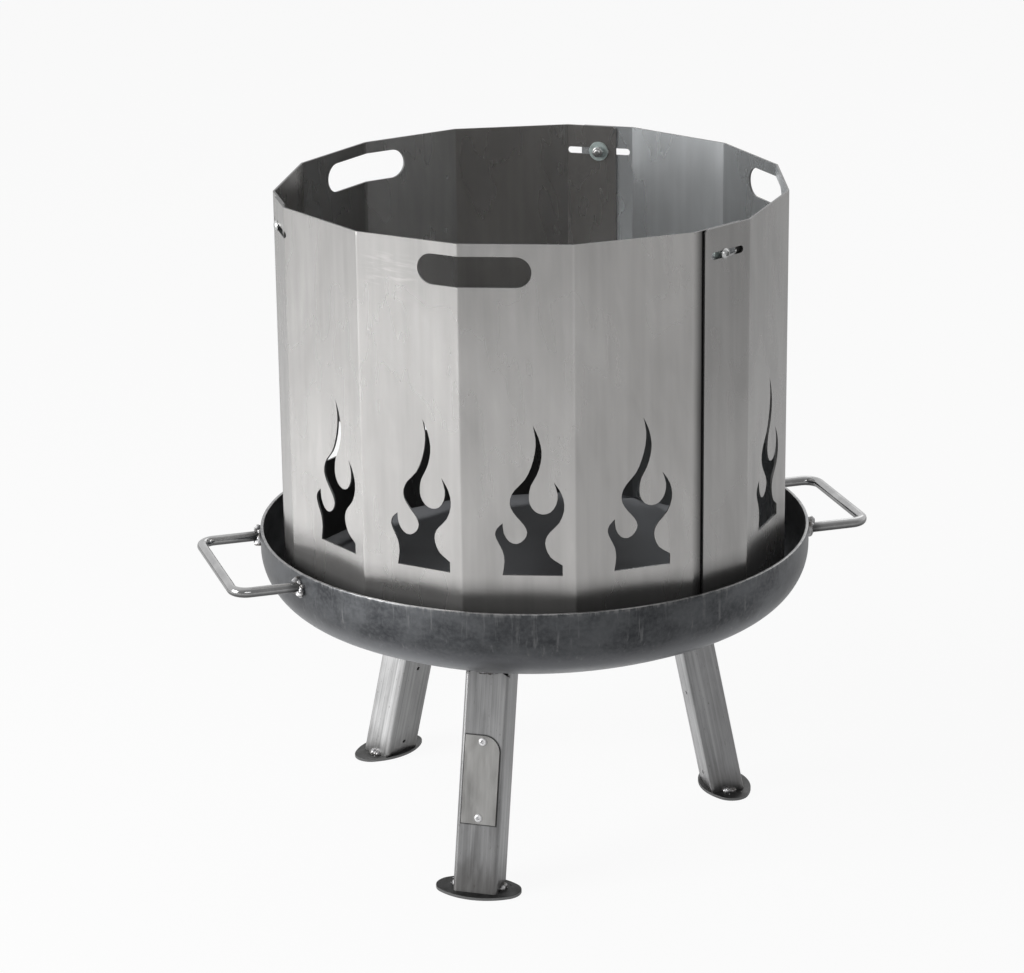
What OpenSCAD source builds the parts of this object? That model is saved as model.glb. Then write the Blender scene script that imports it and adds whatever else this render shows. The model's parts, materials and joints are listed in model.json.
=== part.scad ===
// Camp brazier: a dished steel fire bowl on three splayed legs, with a
// lift-off wind guard of three folded sheets that bolt together through slots.
// Millimetres. The origin is on the floor under the middle of the bowl, Z is up,
// and X runs through the middle fold of the right sheet.

/* [Bowl] */
// outside diameter of the dished plate
bowl_d = 550; // [400:10:800]
// thickness of the bowl plate
bowl_plate = 3; // [2:0.5:6]
// height of the straight edge above the curved part
bowl_edge_h = 20; // [5:1:40]
// height of the rim above the floor
rim_z = 314; // [200:1:500]

/* [Legs] */
// width of the leg tube, across the leg
leg_w = 45; // [25:1:60]
// depth of the leg tube, in and out
leg_t = 35; // [20:1:60]
// wall of the leg tube
leg_wall = 2.5; // [1.5:0.5:5]
// outside corner radius of the leg tube
leg_corner = 4; // [2:0.5:8]
// direction of the front, right and left leg, in degrees
leg_turns = [240, 0, 122]; // [0:1:360]
// distance from the middle of the bowl to each leg at the floor
leg_reaches = [208, 200, 219]; // [120:1:300]
// outward lean of each leg from upright, in degrees
leg_leans = [14.5, 11.5, 15]; // [0:0.5:30]
// bore of the two small vent holes in the inner face of each leg
vent_d = 4; // [2:0.5:8]
// heights of the vent holes along the leg
vent_heights = [21, 114]; // [10:1:130]

/* [Foot plates] */
// length of the oval plate, across the leg
foot_l = 86; // [50:1:140]
// width of the oval plate, in and out
foot_w = 52; // [46:1:80]
// end radius of the oval plate
foot_end = 18; // [10:1:22]
// thickness of the plate
foot_t = 3; // [3:1:10]

/* [Handles] */
// thickness of the round bar
bar_d = 10; // [6:1:16]
// distance between the two arms of the left handle and of the right one
handle_ws = [158, 141]; // [80:1:220]
// how far the middle of each handle lies off its own axis
handle_shifts = [0.8, -9]; // [-20:0.1:20]
// distance from the middle of the bowl to the grip
handle_reach = 327; // [290:1:420]
// bend radius of the bar, to its middle
bar_bend = 15; // [10:1:40]
// height of the bar below the rim
handle_drop = 14; // [8:1:18]
// how far the handles are turned from the folds of the wind guard, in degrees
handle_turn = 3.4; // [-30:0.1:30]

/* [Wind guard] */
// height of the sheets
wall_h = 403.5; // [200:0.5:600]
// thickness of the sheets
sheet = 2; // [1:0.5:4]
// distance from the middle of the ring to the middle fold of a sheet
fold_r = 247.5; // [180:0.5:300]
// width of the two panels beside the middle fold
panel_mid = 107; // [60:1:150]
// width of the next panel on each side
panel_out = 118.7; // [60:0.1:160]
// angle of each fold, in degrees
fold_angle = 24; // [24]
// play between two sheets that lie on each other
sheet_gap = 0.2; // [0.1:0.05:0.5]
// radius of the outer corners of the sheets
corner_r = 3.5; // [1:0.5:20]
// distance from the top edge to the line of slots and hand holes
slot_drop = 26.5; // [18:0.5:60]

/* [Slots and hand holes] */
// length of the adjusting slots
slot_l = 43.3; // [20:0.1:55]
// width of the adjusting slots
slot_w = 7; // [6.5:0.5:10]
// distance from the end of a sheet to its slot
slot_edge = 8.3; // [5:0.1:15]
// length of the hand holes
grip_l = 110; // [90:1:140]
// height of the hand holes
grip_h = 29.5; // [25:0.5:40]

/* [Flames] */
// height of a flame cut-out
flame_h = 148; // [80:1:200]
// width of the flat foot of a flame
flame_foot = 56.6; // [40:0.1:70]
// distance from one flame to the next, along the sheet
flame_pitch = 107.5; // [80:0.5:140]
// distance from the top edge of the wall down to the foot of the flames
flame_drop = 320; // [200:1:380]

/* [Fasteners] */
// thread diameter of the bolts
bolt_d = 6; // [5:1:8]
// head diameter of the bolts
head_d = 10.5; // [8:0.5:14]
// head height of the bolts
head_h = 3.3; // [2:0.1:5]
// length of the bolts under the head
bolt_l = 14; // [12:1:20]
// diameter of the washers
washer_d = 20; // [12:1:24]
// thickness of the washers
washer_t = 1.6; // [1:0.1:2.5]
// width across the flats of the nuts
nut_af = 10; // [8:1:13]
// height of the nuts
nut_h = 5; // [4:0.1:7]

/* [Plate on the front leg] */
// width of the bare plate
plate_w = 35; // [20:1:38]
// height of the bare plate
plate_l = 87; // [40:1:120]
// thickness of the plate
plate_t = 1.5; // [0.5:0.5:3]
// radius of the one round corner of the plate
plate_r = 16; // [2:1:17]
// height of the middle of the plate along the leg
plate_z = 110; // [60:1:140]
// distance between the two rivets
rivet_gap = 75; // [40:1:90]
// head diameter of the rivets
rivet_d = 8; // [5:0.5:12]

/* [Hidden] */
$fn = 96;
fit_gap = 0.1;

// the dished shape: straight edge, knuckle of a tenth of the diameter, crown
bowl_r = bowl_d / 2;
knuckle_r = bowl_d / 10;
crown_r = bowl_d;
knuckle_x = bowl_r - knuckle_r;
knuckle_z = rim_z - bowl_edge_h;
crown_z = knuckle_z + sqrt(pow(crown_r - knuckle_r, 2) - pow(knuckle_x, 2));
meet_angle = atan2(knuckle_z - crown_z, knuckle_x);

leg_len = 240;
notch_w = 9;
notch_h = 5.5;
leg_weld_l = 22;
leg_weld_r = 2.2;
foot_weld_l = 12;
foot_weld_r = 3.6;
weld_out = 0.5;
bar_weld_r = 9.5;
bar_weld_sink = 4;

// the guard, from its lower edge to its top, with sheets named by their place
wall_z = 257.5;
wall_top = wall_z + wall_h;
slot_z = wall_top - slot_drop;
flame_z = wall_top - flame_drop;
front_turn = 240;
right_turn = 0;
back_turn = 120;
// lengths of the plain end panels and how far the cut-outs lie off the middle fold
front_ends = [48.3, 65.3];
right_ends = [60.9, 55];
back_ends = [52.2, 56.3];
front_shift = 12.5;
right_shift = -1;
back_shift = 10;
// the right sheet laps outside both others and the back sheet inside both
lap = sheet + sheet_gap;
right_place = [2 * lap, 0];
back_place = [lap, -lap / sqrt(3)];

// where the lapped panels lie: distance of their outer face from the middle
fold_x = fold_r - panel_mid * sin(fold_angle / 2) - panel_out * sin(1.5 * fold_angle);
fold_y = panel_mid * cos(fold_angle / 2) + panel_out * cos(1.5 * fold_angle);
lap_r = fold_x / 2 + fold_y * sqrt(3) / 2;

// plain shapes

module rounded_rect(size, r) {
    x = size[0] / 2;
    y = size[1] / 2;
    square([2 * x, 2 * (y - r)], center = true);
    square([2 * (x - r), 2 * y], center = true);
    for (i = [-1, 1], j = [-1, 1])
        translate([i * (x - r), j * (y - r)])
            circle(r);
}

module stadium(l, w) {
    square([l - w, w], center = true);
    for (i = [-1, 1])
        translate([i * (l - w) / 2, 0])
            circle(d = w);
}

// a bead of weld along Y with round ends
module bead(l, r) {
    rotate([90, 0, 0])
        cylinder(h = l, r = r, center = true);
    for (i = [-1, 1])
        translate([0, i * l / 2, 0])
            sphere(r);
}

// bowl

// a curved stretch of the plate, between two directions from its centre
module plate_arc(centre, r, from, to) {
    translate(centre)
        intersection() {
            difference() {
                circle(r, $fn = 360);
                circle(r - bowl_plate, $fn = 360);
            }
            polygon([[0, 0], 1.5 * r * [cos(from), sin(from)], 1.5 * r * [cos(to), sin(to)]]);
        }
}

module bowl() {
    color([0.30, 0.32, 0.34])
        rotate_extrude($fn = 180) {
            plate_arc([0, crown_z], crown_r, -90, meet_angle);
            plate_arc([knuckle_x, knuckle_z], knuckle_r, meet_angle, 0);
            translate([bowl_r - bowl_plate, knuckle_z])
                square([bowl_plate, bowl_edge_h]);
        }
}

// the outsides of the bowl, for cutting what is welded to it
module dish_body() {
    translate([0, 0, crown_z])
        rotate([0, 0, 40])
            sphere(crown_r, $fn = 360);
}

module edge_body() {
    translate([0, 0, knuckle_z - 20])
        rotate([0, 0, 70])
            cylinder(h = 60, r = bowl_r, $fn = 180);
}

// legs, numbered from the front one

module at_leg(k) {
    rotate([0, 0, leg_turns[k]])
        translate([leg_reaches[k], 0, 0])
            rotate([0, -leg_leans[k], 0])
                children();
}

// how far up a leg a line meets the bowl, at a distance x out from its middle
function leg_top(k, x) =
    let (b = -leg_reaches[k] * sin(leg_leans[k]) - crown_z * cos(leg_leans[k]),
         tilt = leg_reaches[k] * cos(leg_leans[k]) - crown_z * sin(leg_leans[k]),
         c = pow(leg_reaches[k], 2) + pow(crown_z, 2) + x * x + 2 * x * tilt - pow(crown_r, 2))
    -b - sqrt(b * b - c);

// slope of the bowl where that line meets it, in degrees
function leg_slope(k, x) =
    let (t = leg_top(k, x))
    atan2(leg_reaches[k] + x * cos(leg_leans[k]) - t * sin(leg_leans[k]),
          crown_z - x * sin(leg_leans[k]) - t * cos(leg_leans[k]));

// the tube's section has its width along Y
module leg(k) {
    color([0.42, 0.43, 0.44])
        difference() {
            at_leg(k)
                difference() {
                    translate([0, 0, -15])
                        linear_extrude(leg_len + 15)
                            difference() {
                                rounded_rect([leg_t, leg_w], leg_corner);
                                rounded_rect([leg_t - 2 * leg_wall, leg_w - 2 * leg_wall],
                                             leg_corner - leg_wall);
                            }
                    for (h = vent_heights)
                        translate([-leg_t / 2 - 1, 0, h])
                            rotate([0, 90, 0])
                                cylinder(h = leg_wall + 2, d = vent_d);
                    if (k == 0)
                        rivet_holes();
                    top_notches(leg_top(k, leg_t / 2));
                }
            dish_body();
            translate([0, 0, -50 + foot_t])
                cube([800, 800, 100], center = true);
        }
}

// the outer face is cut back at its two top corners
module top_notches(top) {
    for (i = [-1, 1])
        translate([leg_t / 2 - leg_wall - 1, 0, top])
            rotate([90, 0, 90])
                linear_extrude(leg_wall + 2)
                    polygon([[i * (leg_w / 2 + 1), -notch_h], [i * (leg_w / 2 - notch_w), 0],
                             [i * (leg_w / 2 - notch_w), 20], [i * (leg_w / 2 + 1), 20]]);
}

module rivet_holes() {
    for (i = [-1, 1])
        translate([leg_t / 2 - leg_wall - 1, 0, plate_z + i * rivet_gap / 2])
            rotate([0, 90, 0])
                cylinder(h = leg_wall + plate_t + 4, d = rivet_d / 2);
}

// an oval of two flat arcs along Y and two round ends
module foot_plate(k) {
    end_y = foot_l / 2 - foot_end;
    side_r = (pow(foot_w / 2, 2) + pow(end_y, 2) - pow(foot_end, 2)) / (foot_w - 2 * foot_end);
    side_x = side_r - foot_w / 2;
    meet_y = end_y * side_r / (side_r - foot_end);
    color([0.33, 0.34, 0.35])
        rotate([0, 0, leg_turns[k]])
            translate([leg_reaches[k] + 2, 0, 0])
                linear_extrude(foot_t) {
                    intersection() {
                        translate([side_x, 0])
                            circle(side_r, $fn = 360);
                        translate([-side_x, 0])
                            circle(side_r, $fn = 360);
                        square([foot_w, 2 * meet_y], center = true);
                    }
                    for (i = [-1, 1])
                        translate([0, i * end_y])
                            circle(foot_end);
                }
}

// the bead between the bowl and the outer face of a leg
module leg_weld(k) {
    color([0.55, 0.56, 0.57])
        difference() {
            at_leg(k)
                translate([leg_t / 2 + weld_out, 0, leg_top(k, leg_t / 2) - weld_out])
                    bead(leg_weld_l, leg_weld_r);
            rotate([0, 0, leg_turns[k]])
                translate([0, 0, crown_z])
                    rotate([0, -leg_slope(k, leg_t / 2), 0])
                        translate([0, 0, 20 - crown_r])
                            cube(40, center = true);
            at_leg(k)
                translate([0, 0, leg_len / 2])
                    cube([leg_t, leg_w, leg_len], center = true);
        }
}

// the two short beads between the sides of a leg and its plate
module foot_welds(k) {
    color([0.66, 0.67, 0.68])
        difference() {
            for (i = [-1, 1])
                rotate([0, 0, leg_turns[k]])
                    translate([leg_reaches[k], i * (leg_w / 2 + weld_out), foot_t + weld_out])
                        rotate([0, 0, 90])
                            bead(foot_weld_l, foot_weld_r);
            at_leg(k)
                cube([leg_t, leg_w, 80], center = true);
            translate([0, 0, -50 + foot_t])
                cube([800, 800, 100], center = true);
        }
}

// handles

bar_z = rim_z - handle_drop;

module handle(side) {
    k = side > 0 ? 1 : 0;
    arm = handle_ws[k] / 2;
    color([0.62, 0.63, 0.64])
        difference() {
            rotate([0, 0, handle_turn + (side > 0 ? 0 : 180)])
                translate([0, handle_shifts[k], bar_z]) {
                    translate([handle_reach, 0, 0])
                        rotate([90, 0, 0])
                            cylinder(h = 2 * (arm - bar_bend), d = bar_d, center = true);
                    for (i = [-1, 1]) {
                        translate([bowl_r - 30, i * arm, 0])
                            rotate([0, 90, 0])
                                cylinder(h = handle_reach - bar_bend - bowl_r + 30, d = bar_d);
                        translate([handle_reach - bar_bend, i * (arm - bar_bend), 0])
                            rotate([0, 0, i > 0 ? 0 : -90])
                                rotate_extrude(angle = 90)
                                    translate([bar_bend, 0])
                                        circle(d = bar_d, $fn = 36);
                    }
                }
            edge_body();
        }
}

// the weld blobs where the two arms of a handle meet the bowl
module handle_welds(side) {
    k = side > 0 ? 1 : 0;
    color([0.66, 0.67, 0.68])
        difference() {
            rotate([0, 0, handle_turn + (side > 0 ? 0 : 180)])
                for (i = [-1, 1]) {
                    arm = handle_shifts[k] + i * handle_ws[k] / 2;
                    meet = sqrt(bowl_r * bowl_r - arm * arm);
                    difference() {
                        translate([meet - bar_weld_sink, arm, bar_z])
                            sphere(bar_weld_r);
                        translate([bowl_r - 40, arm, bar_z])
                            rotate([0, 90, 0])
                                cylinder(h = 80, d = bar_d);
                    }
                }
            edge_body();
        }
}

// plate on the front leg

module name_plate() {
    color([0.55, 0.56, 0.58])
        at_leg(0)
            translate([leg_t / 2, 0, plate_z])
                rotate([90, 0, 90])
                    linear_extrude(plate_t)
                        difference() {
                            union() {
                                translate([-plate_w / 2, -plate_l / 2])
                                    square([plate_w, plate_l - plate_r]);
                                translate([-plate_w / 2, -plate_l / 2])
                                    square([plate_w - plate_r, plate_l]);
                                translate([plate_w / 2 - plate_r, plate_l / 2 - plate_r])
                                    circle(plate_r);
                            }
                            for (i = [-1, 1])
                                translate([0, i * rivet_gap / 2])
                                    circle(d = rivet_d / 2);
                        }
}

// blind rivets: a low domed head with the open middle of a pulled stem
module rivets() {
    shank = rivet_d / 2 - fit_gap;
    dome = rivet_d * 0.22;
    dome_r = (pow(rivet_d / 2, 2) + dome * dome) / (2 * dome);
    color([0.7, 0.7, 0.72])
        at_leg(0)
            for (i = [-1, 1])
                translate([leg_t / 2 + plate_t, 0, plate_z + i * rivet_gap / 2])
                    rotate([0, 90, 0])
                        difference() {
                            union() {
                                intersection() {
                                    translate([0, 0, dome - dome_r])
                                        sphere(dome_r);
                                    cylinder(h = dome, d = rivet_d);
                                }
                                translate([0, 0, -plate_t - leg_wall - 2.5])
                                    cylinder(h = plate_t + leg_wall + 2.5, d = shank);
                            }
                            translate([0, 0, 0.2])
                                cylinder(h = dome, d = rivet_d * 0.3);
                        }
}

// wind guard

// heading of panel number i, from the one at the lower end of the turn
function heading(i) = 90 + fold_angle * (i - 2.5);
function along(i, w) = w * [cos(heading(i)), sin(heading(i))];

// outer face of a sheet at its ends and folds, with the middle fold on X
function folds(ends) =
    let (c = [fold_r, 0],
         b = c - along(2, panel_mid), a = b - along(1, panel_out),
         d = c + along(3, panel_mid), e = d + along(4, panel_out))
    [a - along(0, ends[0]), a, b, c, d, e, e + along(5, ends[1])];

// the same line on the inner face
function inner(f, i) =
    let (half = (i == 0 || i == 6) ? 0 : fold_angle / 2,
         facing = heading(i == 0 ? 0 : i == 6 ? 5 : i - 0.5) - 90)
    f[i] - sheet / cos(half) * [cos(facing), sin(facing)];

module sheet_plan(ends) {
    f = folds(ends);
    polygon(concat(f, [for (i = [6 : -1 : 0]) inner(f, i)]));
}

// puts a flat cut-out on panel i, at a distance along it from its first fold
module on_panel(f, i, at, z) {
    p = f[i] + along(i, at);
    translate([p[0], p[1], z])
        rotate([0, 0, heading(i)])
            rotate([90, 0, 0])
                linear_extrude(20, center = true)
                    children();
}

// removes the square corner outside a radius
module corner_cut() {
    difference() {
        translate([-1, -1])
            square(corner_r + 1);
        translate([corner_r, corner_r])
            circle(corner_r);
    }
}

module end_corners(f, i, width, far) {
    for (top = [false, true])
        on_panel(f, i, far ? width : 0, top ? wall_top : wall_z)
            mirror([far ? 1 : 0, 0])
                mirror([0, top ? 1 : 0])
                    corner_cut();
}

// a smooth curve through a list of points, straight on at both ends
function smooth(p, steps) =
    let (n = len(p))
    [for (i = [0 : n - 2])
        let (a = p[max(i - 1, 0)], b = p[i], c = p[i + 1], d = p[min(i + 2, n - 1)])
        for (s = [0 : steps - 1])
            let (t = s / steps)
            0.5 * (2 * b + (c - a) * t + (2 * a - 5 * b + 4 * c - d) * t * t
                   + (3 * b - a - 3 * c + d) * t * t * t)];

// the flame: strokes between sharp corners, up from the right of its foot
module flame() {
    f = flame_foot / 2;
    right_side = [[f, 0], [f, 10.5]];
    waist = [[f, 10.5], [24, 13.4], [17, 18.6], [12.6, 28], [12.6, 36], [16.5, 43],
             [25.5, 52.7], [30, 65], [29.4, 76], [25.5, 85.5], [20.4, 92.6]];
    right_bay = [[20.4, 92.6], [23.9, 81], [22.6, 70.6], [17.2, 63], [9.6, 60.9],
                 [2.6, 63.8], [-2, 70.8], [-2.8, 79], [-1, 88.6], [4.6, 99], [8.2, 110],
                 [9.4, 122], [6.6, 136], [1.2, flame_h]];
    left_bay = [[1.2, flame_h], [3.8, 134], [3, 121], [-0.6, 107], [-6.6, 94.5],
                [-16.4, 84], [-20.6, 75.4], [-20, 66.8], [-14.8, 58.4], [-8, 50.4],
                [-4.8, 42.8], [-7.6, 35.8], [-14.4, 31.4], [-21.6, 33.6], [-26.6, 41.6],
                [-27.7, 51.6]];
    left_side = [[-27.7, 51.6], [-33.2, 46.2], [-34.8, 39.8], [-32, 32.4], [-27.8, 23.6],
                 [-26.4, 13.4], [-f, 0]];
    polygon(concat(right_side, smooth(waist, 2), smooth(right_bay, 2),
                   smooth(left_bay, 2), smooth(left_side, 2), [[-f, 0]]));
}

// one folded sheet; shift moves the flames and the hand hole off the middle fold
module sheet_body(ends, shift) {
    f = folds(ends);
    difference() {
        translate([0, 0, wall_z])
            linear_extrude(wall_h)
                sheet_plan(ends);
        for (k = [-1.5 : 1 : 1.5]) {
            s = k * flame_pitch + shift;
            i = s < -panel_mid ? 1 : s < 0 ? 2 : s < panel_mid ? 3 : 4;
            start = [-panel_mid - panel_out, -panel_mid, 0, panel_mid][i - 1];
            on_panel(f, i, s - start, flame_z)
                flame();
        }
        translate([fold_r, shift, slot_z])
            rotate([90, 0, 90])
                linear_extrude(70, center = true)
                    stadium(grip_l * cos(fold_angle / 2), grip_h);
        on_panel(f, 0, slot_edge + slot_l / 2, slot_z)
            stadium(slot_l, slot_w);
        on_panel(f, 5, ends[1] - slot_edge - slot_l / 2, slot_z)
            stadium(slot_l, slot_w);
        end_corners(f, 0, ends[0], false);
        end_corners(f, 5, ends[1], true);
    }
}

module wall_sheet(turn, place, ends, shift) {
    color([0.72, 0.73, 0.73])
        translate([place[0], place[1], 0])
            rotate([0, 0, turn])
                sheet_body(ends, shift);
}

// fasteners

// places a fastener on a lapped joint, with Z outward and the outermost face at 0
module at_joint(turn, out, s) {
    rotate([0, 0, turn])
        translate([lap_r + out, s, slot_z])
            rotate([0, 90, 0])
                children();
}

module bolt_shape() {
    dome_r = (pow(head_d / 2, 2) + head_h * head_h) / (2 * head_h);
    difference() {
        union() {
            intersection() {
                translate([0, 0, head_h - dome_r])
                    sphere(dome_r);
                cylinder(h = head_h, d = head_d);
            }
            translate([0, 0, -bolt_l])
                cylinder(h = bolt_l + 1, d = bolt_d);
        }
        translate([0, 0, head_h - 2])
            cylinder(h = 3, d = 4 / cos(30), $fn = 6);
    }
}

module washer_shape() {
    translate([0, 0, -2 * sheet - sheet_gap - 2 * fit_gap - washer_t])
        difference() {
            cylinder(h = washer_t, d = washer_d);
            translate([0, 0, -1])
                cylinder(h = washer_t + 2, d = bolt_d + 0.4);
        }
}

module nut_shape() {
    translate([0, 0, -2 * sheet - sheet_gap - 3 * fit_gap - washer_t - nut_h])
        difference() {
            intersection() {
                cylinder(h = nut_h, d = nut_af / cos(30), $fn = 6);
                translate([0, 0, nut_h / 2])
                    sphere(nut_af * 0.61);
            }
            translate([0, 0, -1])
                cylinder(h = nut_h + 2, d = bolt_d + 0.2);
        }
}

// each joint's turn, how far its outermost face lies out, and the bolt's place
left_joint = [180, fit_gap, -2.4];
right_joint = [300, lap + fit_gap, 4.5];
back_joint = [60, lap + fit_gap, -2];

module fastener(j) {
    color([0.72, 0.72, 0.7])
        at_joint(j[0], j[1], j[2])
            children();
}

bowl();
leg(0);  // leg_front
leg(1);  // leg_right
leg(2);  // leg_left
foot_plate(0);  // foot_front
foot_plate(1);  // foot_right
foot_plate(2);  // foot_left
leg_weld(0);  // leg_weld_front
leg_weld(1);  // leg_weld_right
leg_weld(2);  // leg_weld_left
foot_welds(0);  // foot_welds_front
foot_welds(1);  // foot_welds_right
foot_welds(2);  // foot_welds_left
handle(-1);  // handle_left
handle(1);  // handle_right
handle_welds(-1);  // handle_welds_left
handle_welds(1);  // handle_welds_right
name_plate();
rivets();
wall_sheet(front_turn, [0, 0], front_ends, front_shift);  // wall_front
wall_sheet(right_turn, right_place, right_ends, right_shift);  // wall_right
wall_sheet(back_turn, back_place, back_ends, back_shift);  // wall_back
fastener(left_joint) bolt_shape();  // bolt_left
fastener(right_joint) bolt_shape();  // bolt_right
fastener(back_joint) bolt_shape();  // bolt_back
fastener(left_joint) washer_shape();  // washer_left
fastener(right_joint) washer_shape();  // washer_right
fastener(back_joint) washer_shape();  // washer_back
fastener(left_joint) nut_shape();  // nut_left
fastener(right_joint) nut_shape();  // nut_right
fastener(back_joint) nut_shape();  // nut_back
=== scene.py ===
"""The looks of the fire bowl with its folded wind guard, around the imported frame."""

import json
import math
import random

import bmesh
import bpy
from mathutils import Matrix, Vector, noise

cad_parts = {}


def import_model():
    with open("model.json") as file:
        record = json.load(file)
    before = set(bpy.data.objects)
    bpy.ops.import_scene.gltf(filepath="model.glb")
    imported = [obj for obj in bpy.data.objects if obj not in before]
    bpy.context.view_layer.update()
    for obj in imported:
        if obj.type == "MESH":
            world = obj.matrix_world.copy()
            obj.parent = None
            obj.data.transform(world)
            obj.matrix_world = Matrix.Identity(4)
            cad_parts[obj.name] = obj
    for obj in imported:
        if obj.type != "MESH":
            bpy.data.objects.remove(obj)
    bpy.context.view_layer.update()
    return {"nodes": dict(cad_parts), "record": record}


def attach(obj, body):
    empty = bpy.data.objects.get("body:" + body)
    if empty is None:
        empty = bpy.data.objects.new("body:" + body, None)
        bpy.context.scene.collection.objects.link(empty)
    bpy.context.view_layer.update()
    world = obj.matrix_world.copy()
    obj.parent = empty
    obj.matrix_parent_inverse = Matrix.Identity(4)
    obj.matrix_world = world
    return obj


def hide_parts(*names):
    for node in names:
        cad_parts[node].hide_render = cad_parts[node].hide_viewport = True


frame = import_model()
nodes = frame["nodes"]
scene = bpy.context.scene


# Sizes, in metres and degrees, as in the part's source

# the bowl: radius, plate, straight edge and rim, with the two arcs of a standard dished end
BOWL_R, PLATE, EDGE, RIM_Z = 0.275, 0.003, 0.020, 0.314
KNUCKLE, CROWN = BOWL_R / 5, BOWL_R * 2
KNUCKLE_Z = RIM_Z - EDGE
CROWN_Z = KNUCKLE_Z + math.sqrt((CROWN - KNUCKLE) ** 2 - (BOWL_R - KNUCKLE) ** 2)
MEET = math.atan2(KNUCKLE_Z - CROWN_Z, BOWL_R - KNUCKLE)

# the legs: tube, foot plate and the bead at the top, then bearing, reach and lean of each leg
LEG_W, LEG_T, FOOT_T, LEG_BEAD_L = 0.045, 0.035, 0.003, 0.024
LEGS = {"front": (240, 0.208, 14.5), "right": (0, 0.200, 11.5), "left": (122, 0.219, 15)}

# the plate on the front leg: its middle's height up the leg, its round corner and its rivets
PLATE_W, PLATE_H, PLATE_T = 0.035, 0.087, 0.0015
PLATE_UP, PLATE_R, RIVET_GAP = 0.110, 0.016, 0.075

# the handles: height and radius of the bar, then bearing, width and sideways shift of each
HANDLE_TURN, BAR_Z, BAR_R = 3.4, RIM_Z - 0.014, 0.005
HANDLES = {"left": (180, 0.158, 0.0008), "right": (0, 0.141, -0.0090)}

# the wind guard: radius of the middle fold, panels beside it and next to them, and the sheet
FOLD_R, PANEL_MID, PANEL_OUT, SHEET = 0.2475, 0.107, 0.1187, 0.002

# its top, the foot of the flames, and the width of the right sheet's end beside the front one
GUARD_TOP, FLAME_Z, RIGHT_END = 0.661, 0.341, 0.0609

# the bend at each fold and half its angle, then bearing and place of each sheet
BEND, HALF = 0.006, math.radians(12)
LAP = SHEET + 0.0002
SHEETS = {
    "wall_front": (240, (0, 0)),
    "wall_right": (0, (2 * LAP, 0)),
    "wall_back": (120, (LAP, -LAP / math.sqrt(3))),
}
INNER_X, INNER_Y = FOLD_R - PANEL_MID * math.sin(HALF), PANEL_MID * math.cos(HALF)
FOLD_X, FOLD_Y = INNER_X - PANEL_OUT * math.sin(3 * HALF), INNER_Y + PANEL_OUT * math.cos(3 * HALF)

# where the front sheet's folds stand in X, and the right sheet's end along their lapped panel
FRONT = math.radians(SHEETS["wall_front"][0])
LEFT_FOLD = INNER_X * math.cos(FRONT) + INNER_Y * math.sin(FRONT)
MID_FOLD = FOLD_R * math.cos(FRONT)
RIGHT_FOLD = INNER_X * math.cos(FRONT) - INNER_Y * math.sin(FRONT)
LAP_WAY = (math.sqrt(3) / 2, 0.5, 0)
SEAM = (FOLD_X + 2 * LAP) * LAP_WAY[0] - FOLD_Y * LAP_WAY[1] - RIGHT_END

# the fasteners: bolt, washer and nut, then bearing, outward and sideways shift of each joint
FIT = 0.0001
HEAD_R, HEAD_H, SHANK_R, SHANK_L, PITCH = 0.00525, 0.0033, 0.003, 0.014, 0.001
WASHER_R, BORE_R, WASHER_T = 0.0100, 0.0032, 0.0016
NUT_T, NUT_FLATS = 0.005, 0.010
LAP_R = FOLD_X / 2 + FOLD_Y * math.sqrt(3) / 2
SLOT_Z = GUARD_TOP - 0.0265
JOINTS = {"left": (180, FIT, -0.0024), "right": (300, LAP + FIT, 0.0045), "back": (60, LAP + FIT, -0.002)}


# Materials

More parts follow.
